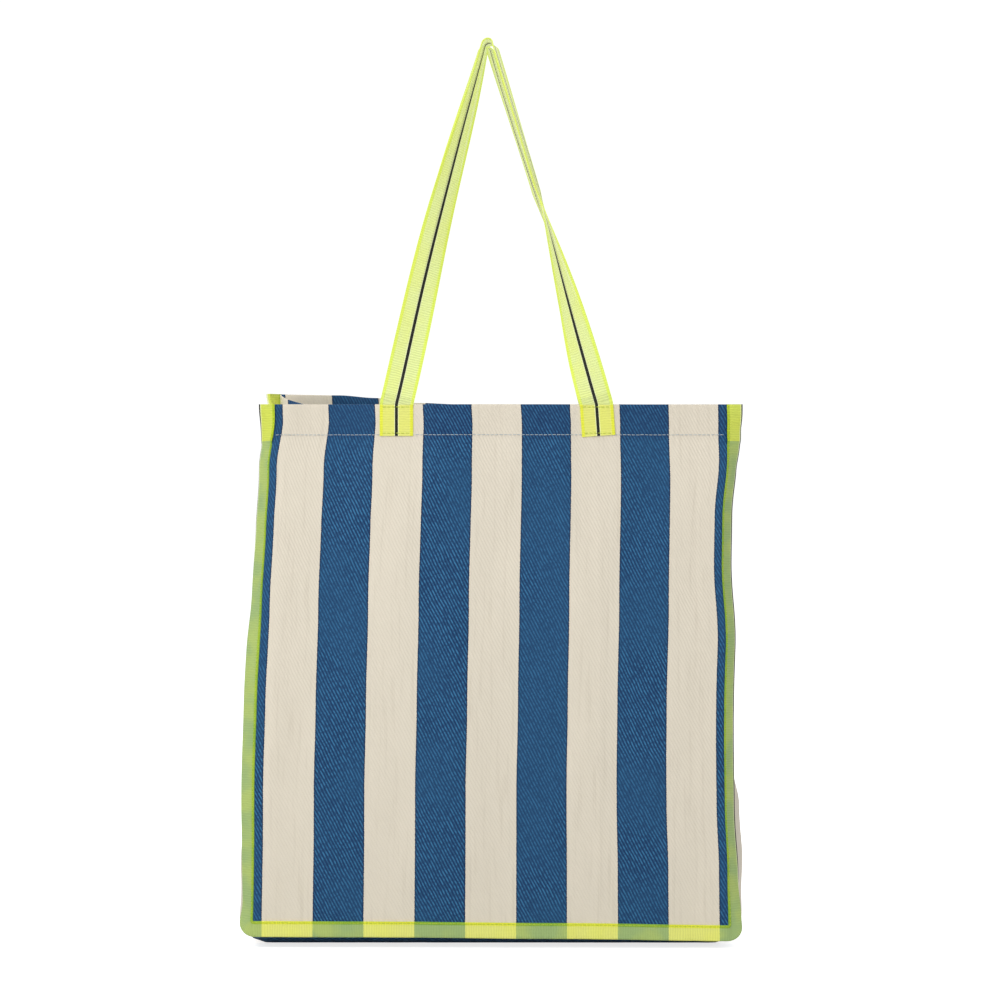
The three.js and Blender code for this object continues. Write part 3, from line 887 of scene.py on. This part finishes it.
def legStation(hand, height):
    start, angle, top = legFacts(hand)
    twist = legTwist(hand, (height - strap["root"]) / (top - strap["root"]))
    tilt = min(max((height - strap["root"]) / strap["width"], 0), 1) * angle
    flat = np.array([math.cos(tilt), 0, -math.sin(tilt)]) * -hand
    rising = (height - strap["root"]) / (top - strap["root"])
    bow = hand * strap["bow"] * math.sin(math.pi * min(max(rising, 0), 1)) ** 1.5
    centre = np.array([start + height * math.tan(angle) + bow, 0, height])
    return centre, flat * math.cos(twist) + np.array([0, math.sin(twist), 0])

def loopStations(legSteps=90, peakSteps=16):
    rows = []
    left, right = legFacts(-1), legFacts(1)
    for i in range(legSteps):
        rows.append(legStation(-1, strap["root"] + (left[2] - strap["root"]) * i / legSteps))
    for i in range(peakSteps + 1):
        share = i / peakSteps
        turned = left[1] + (math.pi + right[1] - left[1]) * share
        along = np.array([math.sin(turned), 0, math.cos(turned)])
        outward = np.array([-along[2], 0, along[0]])
        turn = strap["twist"][-1][0] + (strap["twist"][1][0] - strap["twist"][-1][0]) * share
        twist = math.radians(turn)
        centre = np.array([strap["peak"], 0, strap["rise"] - strap["peakRadius"]])
        rows.append((centre + outward * strap["peakRadius"],
                     -outward * math.cos(twist) + np.array([0, math.sin(twist), 0])))
    for i in range(legSteps - 1, -1, -1):
        rows.append(legStation(1, strap["root"] + (right[2] - strap["root"]) * i / legSteps))
    return np.array([r[0] for r in rows]), np.array([r[1] for r in rows])

def tipped(points):
    lean = math.radians(strap["lean"])
    x, y, z = points[..., 0], points[..., 1], points[..., 2]
    return np.stack([x, y * math.cos(lean) + z * math.sin(lean), z * math.cos(lean) - y * math.sin(lean)], -1)

def toRim(points, side):
    shifted = points + np.array([hang["strapShift"], -strap["middle"], bag["rim"]])
    return shifted * np.array([1, -side, 1])

def ribbon(centres, across, cup):
    half, thick = strap["width"] / 2, strap["thickness"]
    a = np.linspace(-half, half, 19)
    swell = 1 - 0.45 * np.abs(a / half) ** 10
    selvedge = 1 + 0.18 * smooth(np.abs(a), 0.0108, 0.0118)
    h = thick / 2 * swell * selvedge
    loopA = np.concatenate([a, a[::-1]])
    loopH = np.concatenate([h, -h[::-1]])
    along = unit(np.gradient(centres, axis=0))
    across = unit(across - (across * along).sum(-1, keepdims=True) * along)
    normal = np.cross(across, along)
    gone = np.concatenate([[0], np.cumsum(np.linalg.norm(np.diff(centres, axis=0), axis=1))])
    bowed = cup[:, None] * ((loopA / half) ** 2 - 0.4)[None, :]
    rings = (centres[:, None, :] + across[:, None, :] * loopA[None, :, None]
             + normal[:, None, :] * (loopH[None, :] + bowed)[:, :, None])
    flats = np.stack(np.broadcast_arrays(loopA[None, :], gone[:, None]), -1)
    notes = np.stack([rings[..., 0], rings[..., 2]], -1).reshape(-1, 2)
    return loftParts(rings, flats), notes

def makeLoop(label, sideName, side):
    centres, across = loopStations()
    share = np.linspace(0, 1, len(centres))
    cup = strap["cup"] * np.sin(2 * math.pi * share * 3 + (0.6 if side < 0 else 1.7))
    cup = cup * smooth(share, 0, 0.08) * (1 - smooth(share, 0.92, 1))
    rising = smooth(centres[:, 2], strap["root"] + 0.02, strap["rise"])
    centres[:, 0] += -side * strap["apart"] * rising
    if side > 0:
        outward = np.sign(centres[:, 0]) * (1 - smooth(centres[:, 2], 0.05, 0.31))
        centres[:, 0] += strap["widerBehind"] * outward
    centres = toRim(tipped(centres), side)
    across = tipped(across) * np.array([1, -side, 1])
    parts, notes = ribbon(centres, across, cup)
    piece = makeMesh(label, *parts, sharp=60, notes=notes)
    dress(piece, strapWebbing)
    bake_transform(piece)
    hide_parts(sideName + "_handle_loop")

def makeStrapEnd(label, side, hand):
    start, angle, _ = legFacts(hand)
    slant = strap["endSlant"][hand]
    below = [(start + slant * z, 0.0, -z) for z in np.linspace(strap["end"], 0.0, 9)[:-1]]
    above = [(start + h * math.tan(angle), 0.0, h) for h in np.linspace(0, strap["root"], 7)]
    centres = toRim(np.concatenate([np.array(below), tipped(np.array(above))]), side)
    centres[:, 0] += hand * strap["widerBehind"] * (side > 0)
    across = np.tile(np.array([-hand, 0, 0.0]), (len(centres), 1))
    parts, notes = ribbon(centres, across, np.zeros(len(centres)))
    piece = makeMesh(label, *parts, sharp=60, notes=notes)
    dress(piece, strapEndWebbing)
    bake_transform(piece)
    return piece

def strapSurface(side):
    def surface(u, v):
        u, v = np.broadcast_arrays(np.asarray(u, float), np.asarray(v, float))
        return np.stack([u, np.full(u.shape, side * (strap["middle"] + strap["thickness"] / 2)), v], -1)
    return surface, -side

def strapRow(label, side, x, z):
    half = strap["width"] / 2 - 0.0025
    line = np.stack([np.linspace(x - half, x + half, 30), np.full(30, z)], -1)
    starts, ends = spaced(line, 0.0029, 0.0008)
    return stitchRow(label, strapSurface(side), starts, ends, 0.0)

# putting the bag together

for sideName, side, shape in (("front", -1, frontSide), ("back", 1, backSide)):
    body = sideName + "_bag"
    panel = makePanel(sideName + "_panel_cloth", shape, body)
    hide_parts(sideName + "_panel")
    allowance = makeAllowance(sideName + "_seam_allowance", shape, body)
    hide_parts(sideName + "_gusset_allowance")
    tape = makeBinding(sideName + "_edge_binding", shape, body)
    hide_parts(sideName + "_binding_tape")
    row = bindingRow(sideName + "_binding_stitches", shape)
    finishRow(row, limeThread, body, sideName + "_binding_stitch")
    hemLine = hemRow(sideName + "_hem_stitches", shape)
    finishRow(hemLine, paleThread, body, sideName + "_hem_stitch")
    for handName, hand in (("left", -1), ("right", 1)):
        start = f"{sideName}_{handName}"
        end = makeStrapEnd(start + "_strap_end", side, hand)
        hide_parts(start + "_handle_end", start + "_handle_root")
        x = legFacts(hand)[0] + hang["strapShift"] + hand * strap["widerBehind"] * (side > 0)
        for level, z in (("lower", bag["rim"] - strap["end"] + 0.0025), ("upper", bag["rim"] - 0.0025)):
            across = x + strap["endSlant"][hand] * (bag["rim"] - z)
            row = strapRow(f"{start}_{level}_stitches", side, across, z)
            finishRow(row, limeThread, body, f"{start}_{level}_stitch")
    makeLoop(sideName + "_strap_loop", sideName, side)
    print(sideName, "side made")

gusset = makeWalls()
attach(gusset, "front_bag")
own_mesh(gusset)
leaves = [f"{hand}_{end}_gusset_leaf" for hand in ("left", "right") for end in ("front", "rear")]
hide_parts(*leaves, "base_front_leaf", "base_rear_leaf")
for handName, s in (("left", bag["hemRow"]), ("right", stripLength - bag["hemRow"])):
    row = wallHemRow(handName + "_gusset_hem_stitches", s)
    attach(row, "front_bag")
    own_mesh(row)
    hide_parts(handName + "_front_gusset_hem_stitch", handName + "_rear_gusset_hem_stitch")
print("walls and base made")

# floor, light and air

studio = {
    "floorReach": 14,
    "floor": linear(232, 232, 231),
    "floorShade": linear(228, 228, 227),
    "floorHeight": -0.0101,
    "glow": 0.74,
    "air": 0.53,
    "seen": 1.05,
    "lights": (
        ("key", (-1.3, -1.6, 1.9), 1.0, 33),
        ("fill", (2.2, -2.4, 1.5), 2.2, 14),
        ("rear", (0.6, 2.6, 2.4), 2.0, 24),
    ),
    "aim": (0, 0, 0.35),
}

def makeFloor():
    reach = studio["floorReach"]
    mesh = bpy.data.meshes.new("floor")
    turns = np.linspace(0, 2 * math.pi, 65)[:-1]
    points = [(reach * math.cos(t), reach * math.sin(t), studio["floorHeight"]) for t in turns]
    mesh.from_pydata(points, [], [tuple(range(len(points)))])
    floor = bpy.data.objects.new("floor", mesh)
    bpy.context.scene.collection.objects.link(floor)
    material = bpy.data.materials.new("paleFloor")
    material.use_nodes = True
    tree = material.node_tree
    shader = tree.nodes["Principled BSDF"]
    noise = addNode(tree, "TexNoise", Scale=3.0, Detail=3.0)
    patches = rescale(tree, noise.outputs["Fac"], 0.3, 0.7, 0.0, 1.0)
    colour = blendColour(tree, patches, studio["floor"], studio["floorShade"])
    tree.links.new(colour, shader.inputs["Base Color"])
    shader.inputs["Roughness"].default_value = 0.8
    shader.inputs["Emission Color"].default_value = (1, 1, 1, 1)
    seen = addNode(tree, "LightPath").outputs["Is Camera Ray"]
    tree.links.new(calc(tree, "MULTIPLY", seen, studio["glow"]), shader.inputs["Emission Strength"])
    floor.data.materials.append(material)

def makeLights():
    for name, spot, size, power in studio["lights"]:
        light = bpy.data.lights.new(name, "AREA")
        light.shape, light.size, light.energy = "DISK", size, power
        holder = bpy.data.objects.new(name, light)
        holder.location = spot
        holder.rotation_euler = (Vector(studio["aim"]) - Vector(spot)).to_track_quat("-Z", "Y").to_euler()
        bpy.context.scene.collection.objects.link(holder)
    world = bpy.data.worlds.new("studioAir")
    bpy.context.scene.world = world
    world.use_nodes = True
    tree = world.node_tree
    seen = addNode(tree, "LightPath").outputs["Is Camera Ray"]
    strength = rescale(tree, seen, 0.0, 1.0, studio["air"], studio["seen"], "LINEAR")
    tree.links.new(strength, tree.nodes["Background"].inputs["Strength"])
    tree.nodes["Background"].inputs["Color"].default_value = (1, 1, 1, 1)

makeFloor()
makeLights()
bpy.context.scene.view_settings.view_transform = "Standard"
print("studio made")
